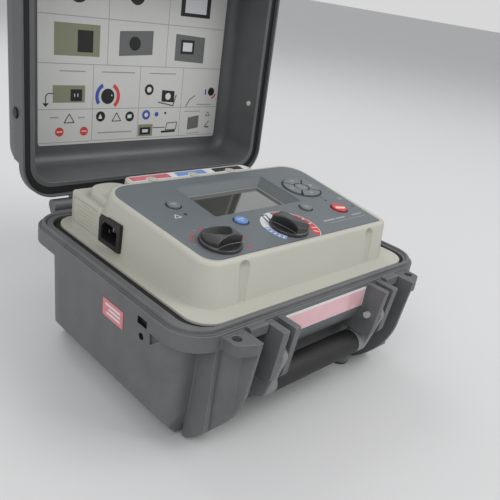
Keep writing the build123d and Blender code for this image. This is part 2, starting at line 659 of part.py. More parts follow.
# ---------------------------------------------------------------- controls that move
def wing_knob():
    """A rotary knob: a thin skirt and a raised body that climbs to a thumb ridge on one side."""
    skirt = extrude(Circle(KNOB_RADIUS), 2.6, taper=8)
    skirt = round_edges(skirt, skirt.edges().group_by(Axis.Z)[-1], 0.6)
    face_y = -10.3
    end_x = math.sqrt(KNOB_BODY_RADIUS ** 2 - face_y ** 2)
    plan = make_face([
        ThreePointArc((end_x, face_y), (0, KNOB_BODY_RADIUS), (-end_x, face_y)),
        ThreePointArc((-end_x, face_y), (0, face_y + 1.8), (end_x, face_y)),
    ])
    along = make_face([
        Line((-20, 0), (20, 0)),
        Line((20, 0), (20, 5.4)),
        ThreePointArc((20, 5.4), (1, KNOB_HEIGHT), (-20, 4.2)),
        Line((-20, 4.2), (-20, 0)),
    ])
    across = make_face([
        Line((-16, 0), (20, 0)),
        Line((20, 0), (20, 3.8)),
        ThreePointArc((20, 3.8), (7, 8.2), (-7.2, KNOB_HEIGHT)),
        Line((-7.2, KNOB_HEIGHT), (-16, KNOB_HEIGHT)),
        Line((-16, KNOB_HEIGHT), (-16, 0)),
    ])
    body = extrude(Pos(0, 0, 1) * plan, KNOB_HEIGHT + 2)
    body &= extrude(Plane(origin=(0, 30, 0), x_dir=(1, 0, 0), z_dir=(0, -1, 0)) * along, 60)
    body &= extrude(Plane(origin=(-30, 0, 0), x_dir=(0, 1, 0), z_dir=(1, 0, 0)) * across, 60)
    body = round_edges(body, body.edges().filter_by(lambda edge: edge.center().Z > 4), 0.8)
    return skirt + body - Pos(0, 0, -1) * extrude(Circle(3.05), 9)


def make_knobs():
    for name, u, turn in (("knob_left", KNOB_LEFT_U, KNOB_LEFT_TURN), ("knob_centre", KNOB_CENTRE_U, KNOB_CENTRE_TURN)):
        keep(name, on_panel(u, KNOB_V, 0.5, Rot(0, 0, turn) * wing_knob()))
        shaft = extrude(Pos(0, 0, KEYPAD_W - 13) * Circle(3), -KEYPAD_W + 13 + 8)
        keep(name + "_shaft", on_panel(u, KNOB_V, 0, shaft))


def domed(face, top):
    """A button cap whose upper edge is softly rounded, with its plunger."""
    cap = Pos(0, 0, -5.5) * extrude(face, 5.5 + top)
    return round_edges(cap, cap.edges().group_by(Axis.Z)[-1], 0.7)


def make_buttons():
    plunger_low = KEYPAD_W + SWITCH_HEIGHT + BUTTON_TRAVEL + 0.05
    for name, (u, v, radius) in BUTTONS.items():
        stem = Pos(0, 0, plunger_low) * extrude(Circle(2.2), -5.4 - plunger_low)
        keep(name, on_panel(u, v, 0, domed(Circle(radius), BUTTON_PROUD) + stem))
    for name, angle in ARROW_SPOTS.items():
        stem = Rot(0, 0, angle) * Pos(14.5, 0, plunger_low) * extrude(Circle(2.2), -5.4 - plunger_low)
        petal = Pos(0, 0, -5.5) * extrude(arrow_face(angle, 0), 5.5 + 1.3)
        keep(name, on_panel(*ARROW_CENTRE, 0, petal + stem))
    stem = Pos(0, 0, plunger_low) * extrude(Circle(2.2), -5.4 - plunger_low)
    keep("arrow_enter", on_panel(*ARROW_CENTRE, 0, domed(Circle(ARROW_INNER - BUTTON_GAP), 1.3) + stem))


# ---------------------------------------------------------------- handle
def tapered_slot(length, radius_start, radius_end):
    """The outline around two circles of different size, the first one at the origin."""
    lean = math.asin((radius_end - radius_start) / length)
    spots = []
    for x, radius in ((0, radius_start), (length, radius_end)):
        spots.append((x - radius * math.sin(lean), radius * math.cos(lean)))
    (x0, y0), (x1, y1) = spots
    return make_face([
        ThreePointArc((x0, y0), (-radius_start, 0), (x0, -y0)),
        Line((x0, -y0), (x1, -y1)),
        ThreePointArc((x1, -y1), (length + radius_end, 0), (x1, y1)),
        Line((x1, y1), (x0, y0)),
    ])


def make_handle():
    reach = math.hypot(GRIP_Y - HANDLE_Y, GRIP_Z - HANDLE_Z)
    lean = math.degrees(math.atan2(GRIP_Z - HANDLE_Z, GRIP_Y - HANDLE_Y))
    at_pin = Plane(origin=(ARM_X - ARM_THICK / 2, HANDLE_Y, HANDLE_Z), x_dir=(0, 1, 0), z_dir=(1, 0, 0))
    arm = extrude(at_pin * Rot(0, 0, lean) * tapered_slot(reach, ARM_RADIUS, ELBOW_RADIUS), ARM_THICK)
    arm = round_edges(arm, arm.faces().sort_by(Axis.X)[-1].edges(), 1.5)
    elbow = rod((GRIP_HALF, GRIP_Y, GRIP_Z), (ARM_X, GRIP_Y, GRIP_Z), ELBOW_RADIUS)
    frame = rod((-ARM_X, GRIP_Y, GRIP_Z), (ARM_X, GRIP_Y, GRIP_Z), 6)
    for piece in both_sides(arm + elbow):
        frame += piece
    frame -= rod((-90, HANDLE_Y, HANDLE_Z), (90, HANDLE_Y, HANDLE_Z), PIN_RADIUS + RUN_CLEARANCE)
    keep("handle_frame", frame)
    grip = rod((-GRIP_HALF, GRIP_Y, GRIP_Z), (GRIP_HALF, GRIP_Y, GRIP_Z), GRIP_RADIUS)
    grip = round_edges(grip, grip.edges().filter_by(GeomType.CIRCLE), 1.0)
    grip -= rod((-GRIP_HALF - 1, GRIP_Y, GRIP_Z), (GRIP_HALF + 1, GRIP_Y, GRIP_Z), 6.02)
    keep("handle_grip", grip)


# ---------------------------------------------------------------- lid
def lid_corners(half_x, half_y, radius):
    """The lid's plan, centred like the base."""
    return [(-half_x, -half_y, radius), (half_x, -half_y, radius), (half_x, half_y, radius), (-half_x, half_y, radius)]


def lid_side_pad():
    """The thick band on the lid's right flank, chamfered at its ends."""
    plan = rounded_face([(149, -84, 0), (157.5, -80, 1), (157.5, 90, 1), (149, 98, 0)])
    return extrude(Pos(0, 0, 118) * plan, 16.5)


def lid_knuckle(x0, x1):
    """A hinge knuckle carried by the lid's back wall."""
    arm = side_profile(
        [(115.5, 125, 0.5), (131.4, 123.2, 0.5), (137, 119, 0.5), (143, 122, 1), (137, 134, 3), (115.5, 141, 1)], x0, x1,
    )
    return arm + rod((x0, HINGE_Y, HINGE_Z), (x1, HINGE_Y, HINGE_Z), HINGE_RADIUS)


def closed_lid_shell():
    rim = slab(RIM_HALF_X, -RIM_HALF_Y, RIM_HALF_Y, RIM_RADIUS, LID_LOW, 124)
    dome = frustum((lid_corners(154.5, 123.5, 30), 124), (lid_corners(149.5, 118.5, 30), LID_SHOULDER))
    upper = frustum((lid_corners(149.5, 118.5, 30), LID_SHOULDER), (lid_corners(144.5, 113.5, 30), LID_TOP))
    dome += round_edges(upper, upper.edges().group_by(Axis.Z)[-1], 14.0)
    shell = rim + dome
    for pad in both_sides(lid_side_pad()):
        shell += pad
    # stiffening ribs over the top
    for x in (-70, 70):
        rib = frustum((lid_corners(9, 98, 4), LID_TOP - 1), (lid_corners(6.5, 96, 3), LID_TOP + 1.6))
        shell += Pos(x, 0, 0) * rib
    for x0, x1 in ((60.0, 100.0),):
        for knuckle in both_sides(lid_knuckle(x0, x1)):
            shell += knuckle
    for lug_x in (LATCH_X - LATCH_WIDTH / 2 - 4.4, LATCH_X + LATCH_WIDTH / 2 + 0.4):
        lug = side_profile([(-115, 129, 1), (-132, 129.5, 3), (-142, 134, 3), (-142, 140, 4), (-115, 152, 1)], lug_x, lug_x + 4)
        for piece in both_sides(lug):
            shell += piece
    # ears that meet the padlock bosses of the base
    for side in (-1, 1):
        ear = Pos(0, 0, LID_LOW) * extrude(rounded_face(PADLOCK_PLAN), PADLOCK_THICK)
        ear -= Pos(PADLOCK_X, PADLOCK_Y, LID_LOW) * Cylinder(PADLOCK_RADIUS, 60)
        shell += ear if side > 0 else mirror(ear, Plane.YZ)
    # inside
    cavity = frustum((lid_corners(144, 113, 21), LID_LOW - 1), (lid_corners(141.5, 110.5, 21), LID_TOP - WALL))
    shell -= round_edges(cavity, cavity.edges().group_by(Axis.Z)[-1], 12.0)
    groove_x = RIM_HALF_X - 2.1
    groove_y = RIM_HALF_Y - 2.1
    shell -= ring(groove_x, -groove_y, groove_y, RIM_RADIUS - 2.1, 7.2, LID_LOW - 1, 122.5)
    # the inner lip stops short of the panel's flange
    shell -= slab(groove_x - 1, -groove_y + 1, groove_y - 1, RIM_RADIUS - 3.1, LID_LOW - 1, 119.4)
    for side in (-1, 1):
        shell -= rod((side * 30, HINGE_Y, HINGE_Z), (side * 124, HINGE_Y, HINGE_Z), PIN_RADIUS + RUN_CLEARANCE)
        for x0, x1 in ((LATCH_X - 16, LATCH_X + 16),):
            shell -= rod((side * x0, LATCH_Y, LATCH_Z), (side * x1, LATCH_Y, LATCH_Z), 1.65)
    # room for the pressure valve in the left pad
    shell -= Pos(-157.5, VALVE_Y, VALVE_Z) * Rot(0, 90, 0) * Cylinder(5.6, 5)
    shell -= Pos(-150, VALVE_Y, VALVE_Z) * Rot(0, 90, 0) * Cylinder(3.05, 20)
    shell -= rod((146, RIVET_Y, RIVET_Z), (140, RIVET_Y, RIVET_Z), 1.5)
    return shell


VALVE_Y = 45.0
VALVE_Z = 128.6
RIVET_Y = 40.0
RIVET_Z = 131.0


def swing(shape, angle):
    """Turn a shape of the closed lid about the hinge."""
    return Pos(0, HINGE_Y, HINGE_Z) * Rot(-angle, 0, 0) * Pos(0, -HINGE_Y, -HINGE_Z) * shape


def closed_latch():
    """A latch as it lies when it is hooked under its lip, around x = 0."""
    hook = side_profile(
        [(-133.0, 142, 2), (-133.0, 104.4, 0.3), (-129.6, 104.4, 0.6), (-130.4, 99.8, 1.5),
         (-141, 98.5, 3), (-143.4, 120, 4), (-140.8, 142, 3)], -LATCH_WIDTH / 2, LATCH_WIDTH / 2,
    )
    finger = side_profile([(-139, 100.5, 0.5), (-146.5, 94.5, 1), (-147.6, 97.5, 0.8), (-141, 106, 1)], -8, 8)
    eye = rod((-LATCH_WIDTH / 2, LATCH_Y, LATCH_Z), (LATCH_WIDTH / 2, LATCH_Y, LATCH_Z), 5)
    relief = box_between(-6.5, 6.5, -150, -141.2, 108, 128)
    bore = rod((-20, LATCH_Y, LATCH_Z), (20, LATCH_Y, LATCH_Z), 1.65)
    return hook + finger + eye - relief - bore


def make_lid():
    keep("lid_shell", swing(closed_lid_shell(), LID_OPEN))
    seal_x = RIM_HALF_X - 2.4
    seal_y = RIM_HALF_Y - 2.4
    seal = ring(seal_x, -seal_y, seal_y, RIM_RADIUS - 2.4, 6.6, 119.85, 122.5)
    keep("lid_gasket", swing(seal, LID_OPEN))
    card = Pos(7.9, -2.4, LID_TOP - WALL - 0.5) * extrude(RectangleRounded(242.8, 187.2, 3), 0.5)
    keep("lid_card", swing(card, LID_OPEN))
    at_valve = Pos(-155.0, VALVE_Y, VALVE_Z) * Rot(0, -90, 0)
    valve = extrude(Circle(5.2), 2.0) + Pos(0, 0, -14) * extrude(Circle(3), 14)
    keep("valve_body", swing(at_valve * valve, LID_OPEN))
    cap = Pos(0, 0, 2.0) * extrude(Circle(4.6), 2.0, taper=8)
    cap = round_edges(cap, cap.edges().group_by(Axis.Z)[-1], 0.5)
    for turn in range(8):
        cap -= Rot(0, 0, turn * 45) * Pos(5.0, 0, 3) * Cylinder(0.8, 6)
    keep("valve_cap", swing(at_valve * cap, LID_OPEN))
    rivet = rod((145.5, RIVET_Y, RIVET_Z), (141, RIVET_Y, RIVET_Z), 1.45)
    rivet += rod((143.2, RIVET_Y, RIVET_Z), (141.6, RIVET_Y, RIVET_Z), 3)
    keep("lid_rivet", swing(rivet, LID_OPEN))
    pins = []
    for side in (-1, 1):
        start = (side * (LATCH_X - 14.2), LATCH_Y, LATCH_Z)
        end = (side * (LATCH_X + 14.2), LATCH_Y, LATCH_Z)
        pins.append(swing(rod(start, end, 1.6), LID_OPEN))
    keep("latch_pins", *pins)
    opened = Pos(0, LATCH_Y, LATCH_Z) * Rot(-LATCH_OPEN, 0, 0) * Pos(0, -LATCH_Y, -LATCH_Z) * closed_latch()
    for name, x in (("latch_left", -LATCH_X), ("latch_right", LATCH_X)):
        keep(name, swing(Pos(x, 0, 0) * opened, LID_OPEN))


# ---------------------------------------------------------------- build and write
make_base_shell()
make_base_fittings()
make_panel()
make_display()
make_inlet()
make_terminals()
make_electronics()
make_power()
make_knobs()
make_buttons()
make_handle()
make_lid()

os.makedirs("parts", exist_ok=True)
for name, shape in PARTS.items():
    export_step(Pos(0, FRAME_SHIFT_Y, 0) * shape, f"parts/{name}.step")
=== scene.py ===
"""Looks of an insulation resistance tester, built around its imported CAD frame. Metres, +Z up."""
import math

import bpy
from mathutils import Matrix, Vector


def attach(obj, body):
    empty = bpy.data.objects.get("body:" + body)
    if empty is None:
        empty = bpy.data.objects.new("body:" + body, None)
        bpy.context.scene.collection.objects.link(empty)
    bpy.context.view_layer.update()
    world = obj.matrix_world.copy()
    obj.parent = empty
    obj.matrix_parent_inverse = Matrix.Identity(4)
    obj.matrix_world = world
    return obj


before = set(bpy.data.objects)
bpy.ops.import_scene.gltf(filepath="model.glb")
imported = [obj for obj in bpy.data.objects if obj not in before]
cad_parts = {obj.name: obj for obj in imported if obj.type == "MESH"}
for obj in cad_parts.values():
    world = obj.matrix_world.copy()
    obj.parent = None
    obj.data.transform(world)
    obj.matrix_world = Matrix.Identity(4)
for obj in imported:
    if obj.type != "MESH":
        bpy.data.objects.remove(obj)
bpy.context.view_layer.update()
MM = 0.001
SHIFT = -29.6               # the frame's origin lies this far behind the middle of the case rim

# ---------------------------------------------------------------- camera
AZIMUTH, ELEVATION, ROLL = (math.radians(a) for a in (-47.4, 23.4, 9.6))
CAMERA_PLACE = (-0.39864, -0.39039 + SHIFT * MM, 0.34973)
LENS, SENSOR = 43.2, 36.0

back = Vector((
    math.sin(AZIMUTH) * math.cos(ELEVATION), -math.cos(AZIMUTH) * math.cos(ELEVATION), math.sin(ELEVATION),
))
right = (-back).cross(Vector((0, 0, 1))).normalized()
upward = right.cross(-back)
cam_x = math.cos(ROLL) * right + math.sin(ROLL) * upward
cam_y = -math.sin(ROLL) * right + math.cos(ROLL) * upward
camera = bpy.data.objects.new("camera", bpy.data.cameras.new("camera"))
camera.data.lens = LENS
camera.data.sensor_width = SENSOR
camera.data.clip_start = 0.01
camera_turn = Matrix((cam_x, cam_y, back)).transposed().to_4x4()
camera.matrix_world = Matrix.Translation(CAMERA_PLACE) @ camera_turn
bpy.context.scene.collection.objects.link(camera)
bpy.context.scene.camera = camera


# ---------------------------------------------------------------- materials
CLOUD_LOW, CLOUD_HIGH = 0.3, 0.7        # the part of the noise that colour and gloss follow
GLOSS_SPREAD = 0.12                     # how far the roughness strays either way
EDGE_FLAT, EDGE_SHARP = 0.995, 0.86     # cosines between the true and the softened normal
GRAIN_HEIGHT = 0.0004
COAT_ROUGHNESS = 0.08


def srgb(red, green, blue):
    """Linear colour from 0-255 display values."""
    def line(value):
        value /= 255
        return value / 12.92 if value <= 0.04045 else ((value + 0.055) / 1.055) ** 2.4
    return (line(red), line(green), line(blue), 1.0)


def scaled(color, factor):
    """The colour made lighter or darker, still opaque."""
    return tuple(min(1.0, c * factor) for c in color[:3]) + (1.0,)


def material(name, color, roughness=0.5, mottle=0.06, mottle_scale=25.0, grain=0.0, grain_scale=1500.0,
             metallic=0.0, coat=0.0, soft_edge=0.0, edge_wear_and_highlight=0.0, rubbed_and_highlight=2.6, specular=0.5):
    """A plastic, metal or rubber: cloudy colour and gloss, fine grain, soft edges.

    edge wear lightens the sharp edges towards the colour times the rubbed factor: partly real wear, partly a
    painted highlight along the edges.
    """
    made = bpy.data.materials.new(name)
    made.use_nodes = True
    tree = made.node_tree
    link = tree.links.new
    shader = tree.nodes["Principled BSDF"]
    shader.inputs["Metallic"].default_value = metallic
    shader.inputs["Coat Weight"].default_value = coat
    shader.inputs["Coat Roughness"].default_value = COAT_ROUGHNESS
    shader.inputs["Specular IOR Level"].default_value = specular
    where = tree.nodes.new("ShaderNodeTexCoord")
    cloud = tree.nodes.new("ShaderNodeTexNoise")
    cloud.inputs["Scale"].default_value = mottle_scale
    cloud.inputs["Detail"].default_value = 6.0
    cloud.inputs["Roughness"].default_value = 0.6
    link(where.outputs["Object"], cloud.inputs["Vector"])
    ramp = tree.nodes.new("ShaderNodeValToRGB")
    ramp.color_ramp.elements[0].position = CLOUD_LOW
    ramp.color_ramp.elements[1].position = CLOUD_HIGH
    ramp.color_ramp.elements[0].color = scaled(color, 1 - mottle)
    ramp.color_ramp.elements[1].color = scaled(color, 1 + mottle)
    link(cloud.outputs["Fac"], ramp.inputs["Fac"])
    tint = ramp.outputs["Color"]
    gloss = tree.nodes.new("ShaderNodeMapRange")
    gloss.inputs["From Min"].default_value = CLOUD_LOW
    gloss.inputs["From Max"].default_value = CLOUD_HIGH
    gloss.inputs["To Min"].default_value = roughness * (1 - GLOSS_SPREAD)
    gloss.inputs["To Max"].default_value = min(1.0, roughness * (1 + GLOSS_SPREAD))
    link(cloud.outputs["Fac"], gloss.inputs["Value"])
    link(gloss.outputs["Result"], shader.inputs["Roughness"])
    normal = None
    if soft_edge:
        bevel = tree.nodes.new("ShaderNodeBevel")
        bevel.samples = 6
        bevel.inputs["Radius"].default_value = soft_edge
        normal = bevel.outputs["Normal"]
        # painted highlight: sharp edges lightened in the colour, partly real wear and partly the light the
        # edges catch
        if edge_wear_and_highlight:
            plain = tree.nodes.new("ShaderNodeNewGeometry")
            turn = tree.nodes.new("ShaderNodeVectorMath")
            turn.operation = "DOT_PRODUCT"
            link(plain.outputs["Normal"], turn.inputs[0])
            link(normal, turn.inputs[1])
            edge = tree.nodes.new("ShaderNodeMapRange")
            edge.inputs["From Min"].default_value = EDGE_FLAT
            edge.inputs["From Max"].default_value = EDGE_SHARP
            edge.inputs["To Min"].default_value = 0.0
            edge.inputs["To Max"].default_value = edge_wear_and_highlight
            link(turn.outputs["Value"], edge.inputs["Value"])
            edge_lightening = tree.nodes.new("ShaderNodeMix")
            edge_lightening.data_type = "RGBA"
            edge_lightening.inputs["B"].default_value = scaled(color, rubbed_and_highlight)
            link(edge.outputs["Result"], edge_lightening.inputs["Factor"])
            link(tint, edge_lightening.inputs["A"])
            tint = edge_lightening.outputs["Result"]
    link(tint, shader.inputs["Base Color"])
    if grain:
        fine = tree.nodes.new("ShaderNodeTexNoise")
        fine.inputs["Scale"].default_value = grain_scale
        fine.inputs["Detail"].default_value = 3.0
        link(where.outputs["Object"], fine.inputs["Vector"])
        bump = tree.nodes.new("ShaderNodeBump")
        bump.inputs["Strength"].default_value = grain
        bump.inputs["Distance"].default_value = GRAIN_HEIGHT
        link(fine.outputs["Fac"], bump.inputs["Height"])
        if normal:
            link(normal, bump.inputs["Normal"])
        normal = bump.outputs["Normal"]
    if normal:
        link(normal, shader.inputs["Normal"])
    return made


# the edge wear settings lighten the sharp edges: partly real wear, partly painted highlight
CASE = material("case", srgb(98, 99, 100), 0.5, mottle=0.16, mottle_scale=32, grain=0.5,
                grain_scale=1100, soft_edge=0.0012, edge_wear_and_highlight=0.4)
# painted shade: the case plastic made darker for the lid, for the shade inside the open lid
LID_CASE_SHADED = material("lid_case_shaded", srgb(88, 90, 91), 0.42, mottle=0.12, mottle_scale=24, grain=0.5,
                    grain_scale=1000, soft_edge=0.0012, edge_wear_and_highlight=0.4)
BEIGE = material("panel_beige", srgb(187, 186, 175), 0.5, mottle=0.02, mottle_scale=14, grain=0.18,
                 grain_scale=1800, soft_edge=0.0012)
SLATE = material("slate_film", srgb(106, 112, 116), 0.42, mottle=0.035, mottle_scale=40, grain=0.35,
                 grain_scale=2600, soft_edge=0.0004)
RUBBER = material("rubber_black", srgb(24, 24, 25), 0.72, mottle=0.12, grain=0.3, grain_scale=900,
                  soft_edge=0.0006)
GRIP = material("grip_rubber", srgb(34, 34, 35), 0.62, mottle=0.14, mottle_scale=60, grain=0.6,
                grain_scale=700, soft_edge=0.0008)
ARM = material("handle_grey", srgb(126, 128, 130), 0.42, mottle=0.08, grain=0.2, soft_edge=0.0008, edge_wear_and_highlight=0.5)
# painted highlight: the strong edge lightening draws the bright lines of light along the knob ridges, with
# some real wear
KNOB = material("knob_black", srgb(26, 26, 27), 0.3, mottle=0.06, specular=0.8, grain=0.15,
                grain_scale=1400, soft_edge=0.0013, edge_wear_and_highlight=0.9, rubbed_and_highlight=16.0)
STEEL = material("steel", (0.62, 0.62, 0.61, 1), 0.3, mottle=0.05, metallic=1.0, grain=0.08, grain_scale=900)
BRASS = material("brass", (0.72, 0.56, 0.3, 1), 0.28, mottle=0.06, metallic=1.0)
INLET = material("inlet_black", srgb(30, 30, 31), 0.45, mottle=0.08, grain=0.2, soft_edge=0.0005, edge_wear_and_highlight=0.3)
GLASS = material("display_glass", srgb(74, 74, 67), 0.03, mottle=0.02, coat=1.0, specular=1.0)
GLASS.node_tree.nodes["Principled BSDF"].inputs["IOR"].default_value = 2.3     # mirrors more than clear glass
BEZEL = material("bezel_line", srgb(150, 150, 146), 0.3)
CARD = material("card_white", srgb(206, 206, 202), 0.42, mottle=0.02, mottle_scale=60)
PALE = material("label_pale", srgb(222, 222, 222), 0.3, mottle=0.02)
RED_LABEL = material("label_red", srgb(204, 96, 106), 0.28, mottle=0.04, coat=0.5)
SIDE_LABEL = material("label_side", srgb(212, 118, 126), 0.28, mottle=0.05, coat=0.5)
# partly painted sheen: the pink is made paler for the white sheen reflected off the glossy label
PINK_LABEL_WITH_SHEEN = material("label_pink_with_sheen", srgb(222, 176, 182), 0.22, mottle=0.06, mottle_scale=45, coat=0.7)
BUTTON_BLUE = material("button_blue", srgb(104, 140, 196), 0.4, mottle=0.04, soft_edge=0.0003)
BUTTON_GREY = material("button_grey", srgb(116, 121, 124), 0.42, mottle=0.04, soft_edge=0.0003)
BUTTON_RED = material("button_red", srgb(206, 66, 74), 0.38, mottle=0.04, soft_edge=0.0003)
TERMINAL = {
    "red": material("terminal_red", srgb(190, 30, 36), 0.35, mottle=0.04),
    "blue": material("terminal_blue", srgb(38, 84, 170), 0.35, mottle=0.04),
    "black": material("terminal_black", srgb(28, 28, 29), 0.35, mottle=0.06),
}
# black and dark below also serve as painted shade in gaps and recesses, besides print
PRINT_AND_SHADE = {
    "green": material("print_green", srgb(110, 150, 120), 0.4, mottle=0.02),
    "black": material("print_and_shade_black", srgb(26, 26, 27), 0.5, mottle=0.05),
    "pale_blue": material("print_pale_blue", srgb(160, 184, 224), 0.4, mottle=0.02),
    "pale_grey": material("print_pale_grey", srgb(160, 166, 168), 0.45, mottle=0.02),
    "mid_grey": material("print_mid_grey", srgb(104, 106, 106), 0.45, mottle=0.02),
    "olive": material("print_olive", srgb(132, 136, 112), 0.45, mottle=0.02),
    "cream": material("print_cream", srgb(226, 206, 186), 0.4, mottle=0.02),
    "white": material("print_white", srgb(214, 216, 218), 0.4, mottle=0.02),
    "red": material("print_red", srgb(206, 66, 66), 0.4, mottle=0.02),
    "blue": material("print_blue", srgb(120, 146, 206), 0.4, mottle=0.02),
    "deep_blue": material("print_deep_blue", srgb(58, 82, 168), 0.4, mottle=0.02),
    "grey": material("print_grey", srgb(150, 152, 152), 0.45, mottle=0.02),
    "dark": material("print_and_shade_dark", srgb(52, 54, 56), 0.45, mottle=0.02),
    "sand": material("print_sand", srgb(176, 174, 150), 0.45, mottle=0.02),
}
PIN = material("pin_bright", (0.8, 0.8, 0.79, 1), 0.38, mottle=0.05, metallic=0.5, grain=0.1)
BOARD = material("board_green", (0.02, 0.14, 0.06, 1), 0.4, mottle=0.1)
DARK_PART = material("component_dark", (0.035, 0.035, 0.04, 1), 0.5, mottle=0.1, grain=0.2)
RESIN = material("resin_grey", (0.11, 0.115, 0.12, 1), 0.55, mottle=0.1, grain=0.3)
CELLS = material("cell_wrap", (0.03, 0.12, 0.3, 1), 0.35, mottle=0.08)
LAMP = material("lamp", srgb(70, 52, 52), 0.2, mottle=0.02, coat=0.6)

FINISH = {
    "base_shell": CASE, "lid_shell": LID_CASE_SHADED, "latch_left": CASE, "latch_right": CASE,
    "base_feet": RUBBER, "panel_gasket": RUBBER, "lid_gasket": RUBBER,
    "handle_grip": GRIP, "handle_frame": ARM, "handle_pins": PIN, "lid_rivet": PIN,
    "panel_housing": BEIGE, "panel_overlay": SLATE, "display_window": GLASS, "lcd_module": DARK_PART,
    "mains_inlet": INLET, "inlet_pins": STEEL, "rating_plate": BEIGE, "terminal_label": PALE,
    "terminal_red": TERMINAL["red"], "terminal_blue": TERMINAL["blue"], "terminal_black": TERMINAL["black"],
    "terminal_contacts": BRASS, "front_label": PALE, "side_label": SIDE_LABEL, "lid_card": CARD,
    "valve_body": INLET, "valve_cap": INLET, "knob_left": KNOB, "knob_centre": KNOB,
    "button_backlight": BUTTON_GREY, "button_mode": BUTTON_BLUE,
    "button_set": BUTTON_GREY, "button_test": BUTTON_RED,
    "arrow_up": BUTTON_GREY, "arrow_down": BUTTON_GREY, "arrow_left": BUTTON_GREY,
    "arrow_right": BUTTON_GREY, "arrow_enter": BUTTON_GREY, "status_leds": LAMP,
    "main_board": BOARD, "power_board": BOARD, "keypad_board": BOARD,
    "board_standoffs": BRASS, "fuse_clips": BRASS, "high_voltage_module": RESIN, "battery_pack": CELLS,
    "power_capacitors": CELLS, "mains_transformer": DARK_PART, "tact_switches": DARK_PART,
    "rotary_switches": DARK_PART, "board_legs": ARM, "mains_fuse": PALE,
}
for name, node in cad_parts.items():
    finish = FINISH.get(name, STEEL)        # pins, shafts and screws are steel
    for place in node.material_slots:
        place.material = finish


# ---------------------------------------------------------------- places on the model
# in millimetres; y counts from the middle of the case rim
TILT = math.radians(6.06)
PANEL_Y, PANEL_Z = -90, 155                     # the front edge of the fascia's face
HINGE_Y, HINGE_Z = 137.0, 120.0
OPEN = math.radians(92.0)
CARD_Y, CARD_Z = 94, 176.5                      # the card's zero line and face, with the lid shut
FRONT_LABEL_Y = -127.1
SIDE_LABEL_X, SIDE_LABEL_Y, SIDE_LABEL_Z = -157.15, -29.7, 91.5
SIDE_LEAN = math.atan(2.5 / 71)                 # draft of the left wall
RATING_X, RATING_Y = -127.9, 72
WALL_MARK_X = -153.9                            # 2.7 mm inside the left wall


def on_panel(u, v, w):
    """A point on the tilted panel, from millimetres across, up and out of it."""
    return Vector((
        u,
        SHIFT + PANEL_Y + v * math.cos(TILT) - w * math.sin(TILT),
        PANEL_Z + v * math.sin(TILT) + w * math.cos(TILT),
    )) * MM


def in_lid(x, y, z):
    """A point of the shut lid, carried to the open lid."""
    reach, rise = HINGE_Y - y, z - HINGE_Z
    return Vector((
        x,
        SHIFT + HINGE_Y - reach * math.cos(OPEN) + rise * math.sin(OPEN),
        HINGE_Z + reach * math.sin(OPEN) + rise * math.cos(OPEN),
    )) * MM


def on_card(a, b, w):
    """A point on the printed card: a to the right, b upwards, w out of it."""
    return in_lid(a, CARD_Y - b, CARD_Z - w)


def on_front(x, z, w):
    """A point on the label under the rim."""
    return Vector((x, SHIFT + FRONT_LABEL_Y - w, z)) * MM


def on_left(a, z, w):
    """A point on the side label: a runs towards the back."""
    out = w * math.cos(SIDE_LEAN) + (z - SIDE_LABEL_Z) * math.tan(SIDE_LEAN)
    return Vector((SIDE_LABEL_X - out, SHIFT + SIDE_LABEL_Y + a, z)) * MM


def on_rating(a, z, w):
    """A point on the plate behind the mains inlet: a runs towards the back."""
    return Vector((RATING_X - w, SHIFT + RATING_Y + a, z)) * MM


def on_wall(y, z, w):
    """A point at the bottom of the marks moulded into the left wall."""
    return Vector((WALL_MARK_X - w, SHIFT + y, z)) * MM


def raised(height):
    """The panel's own places at another height: the top of a key, or the floor of the display."""
    return lambda u, v, w: on_panel(u, v, height + w)


# ---------------------------------------------------------------- flat prints and painted shade
def disc(cu, cv, radius, sides=40):
    """A filled circle."""
    return [(cu + radius * math.cos(2 * math.pi * k / sides), cv + radius * math.sin(2 * math.pi * k / sides))
            for k in range(sides)]


def arc(cu, cv, inner, outer, start, end, sides=24):
    """A ring segment between two angles in degrees."""
    turns = [math.radians(start + (end - start) * k / sides) for k in range(sides + 1)]
    rim = [(cu + outer * math.cos(t), cv + outer * math.sin(t)) for t in turns]
    return rim + [(cu + inner * math.cos(t), cv + inner * math.sin(t)) for t in reversed(turns)]


def bar(u0, v0, u1, v1):
    """A rectangle between two corners."""
    return [(u0, v0), (u1, v0), (u1, v1), (u0, v1)]


def stroke(points, width, closed=False):
    """Straight strokes of one width through the points."""
    shapes = []
    count = len(points) if closed else len(points) - 1
    for k in range(count):
        (ax, ay), (bx, by) = points[k], points[(k + 1) % len(points)]
        length = math.hypot(bx - ax, by - ay)
        nx, ny = -(by - ay) / length * width / 2, (bx - ax) / length * width / 2
        shapes.append([(ax + nx, ay + ny), (ax - nx, ay - ny), (bx - nx, by - ny), (bx + nx, by + ny)])
    return shapes


def hoop(cu, cv, radius, width, sides=40):
    """A full ring, in two halves."""
    half = width / 2
    return [arc(cu, cv, radius - half, radius + half, 0, 180, sides // 2),
            arc(cu, cv, radius - half, radius + half, 180, 360, sides // 2)]


def flat_plates(name, shapes, place, finish, body, low=0.0, high=0.12):
    """Thin closed plates with the given outlines, on the surface that place() maps to."""
    points, faces = [], []
    for outline in shapes:
        first = len(points)
        count = len(outline)
        points += [place(a, b, low) for a, b in outline]
        points += [place(a, b, high) for a, b in outline]
        faces.append([first + count + k for k in range(count)])
        faces.append([first + k for k in reversed(range(count))])
        for k in range(count):
            after = (k + 1) % count
            faces.append([first + k, first + after, first + count + after, first + count + k])
    mesh = bpy.data.meshes.new(name)
    mesh.from_pydata(points, [], faces)
    mesh.validate()
    piece = bpy.data.objects.new(name, mesh)
    bpy.context.scene.collection.objects.link(piece)
    mesh.materials.append(finish)
    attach(piece, body)


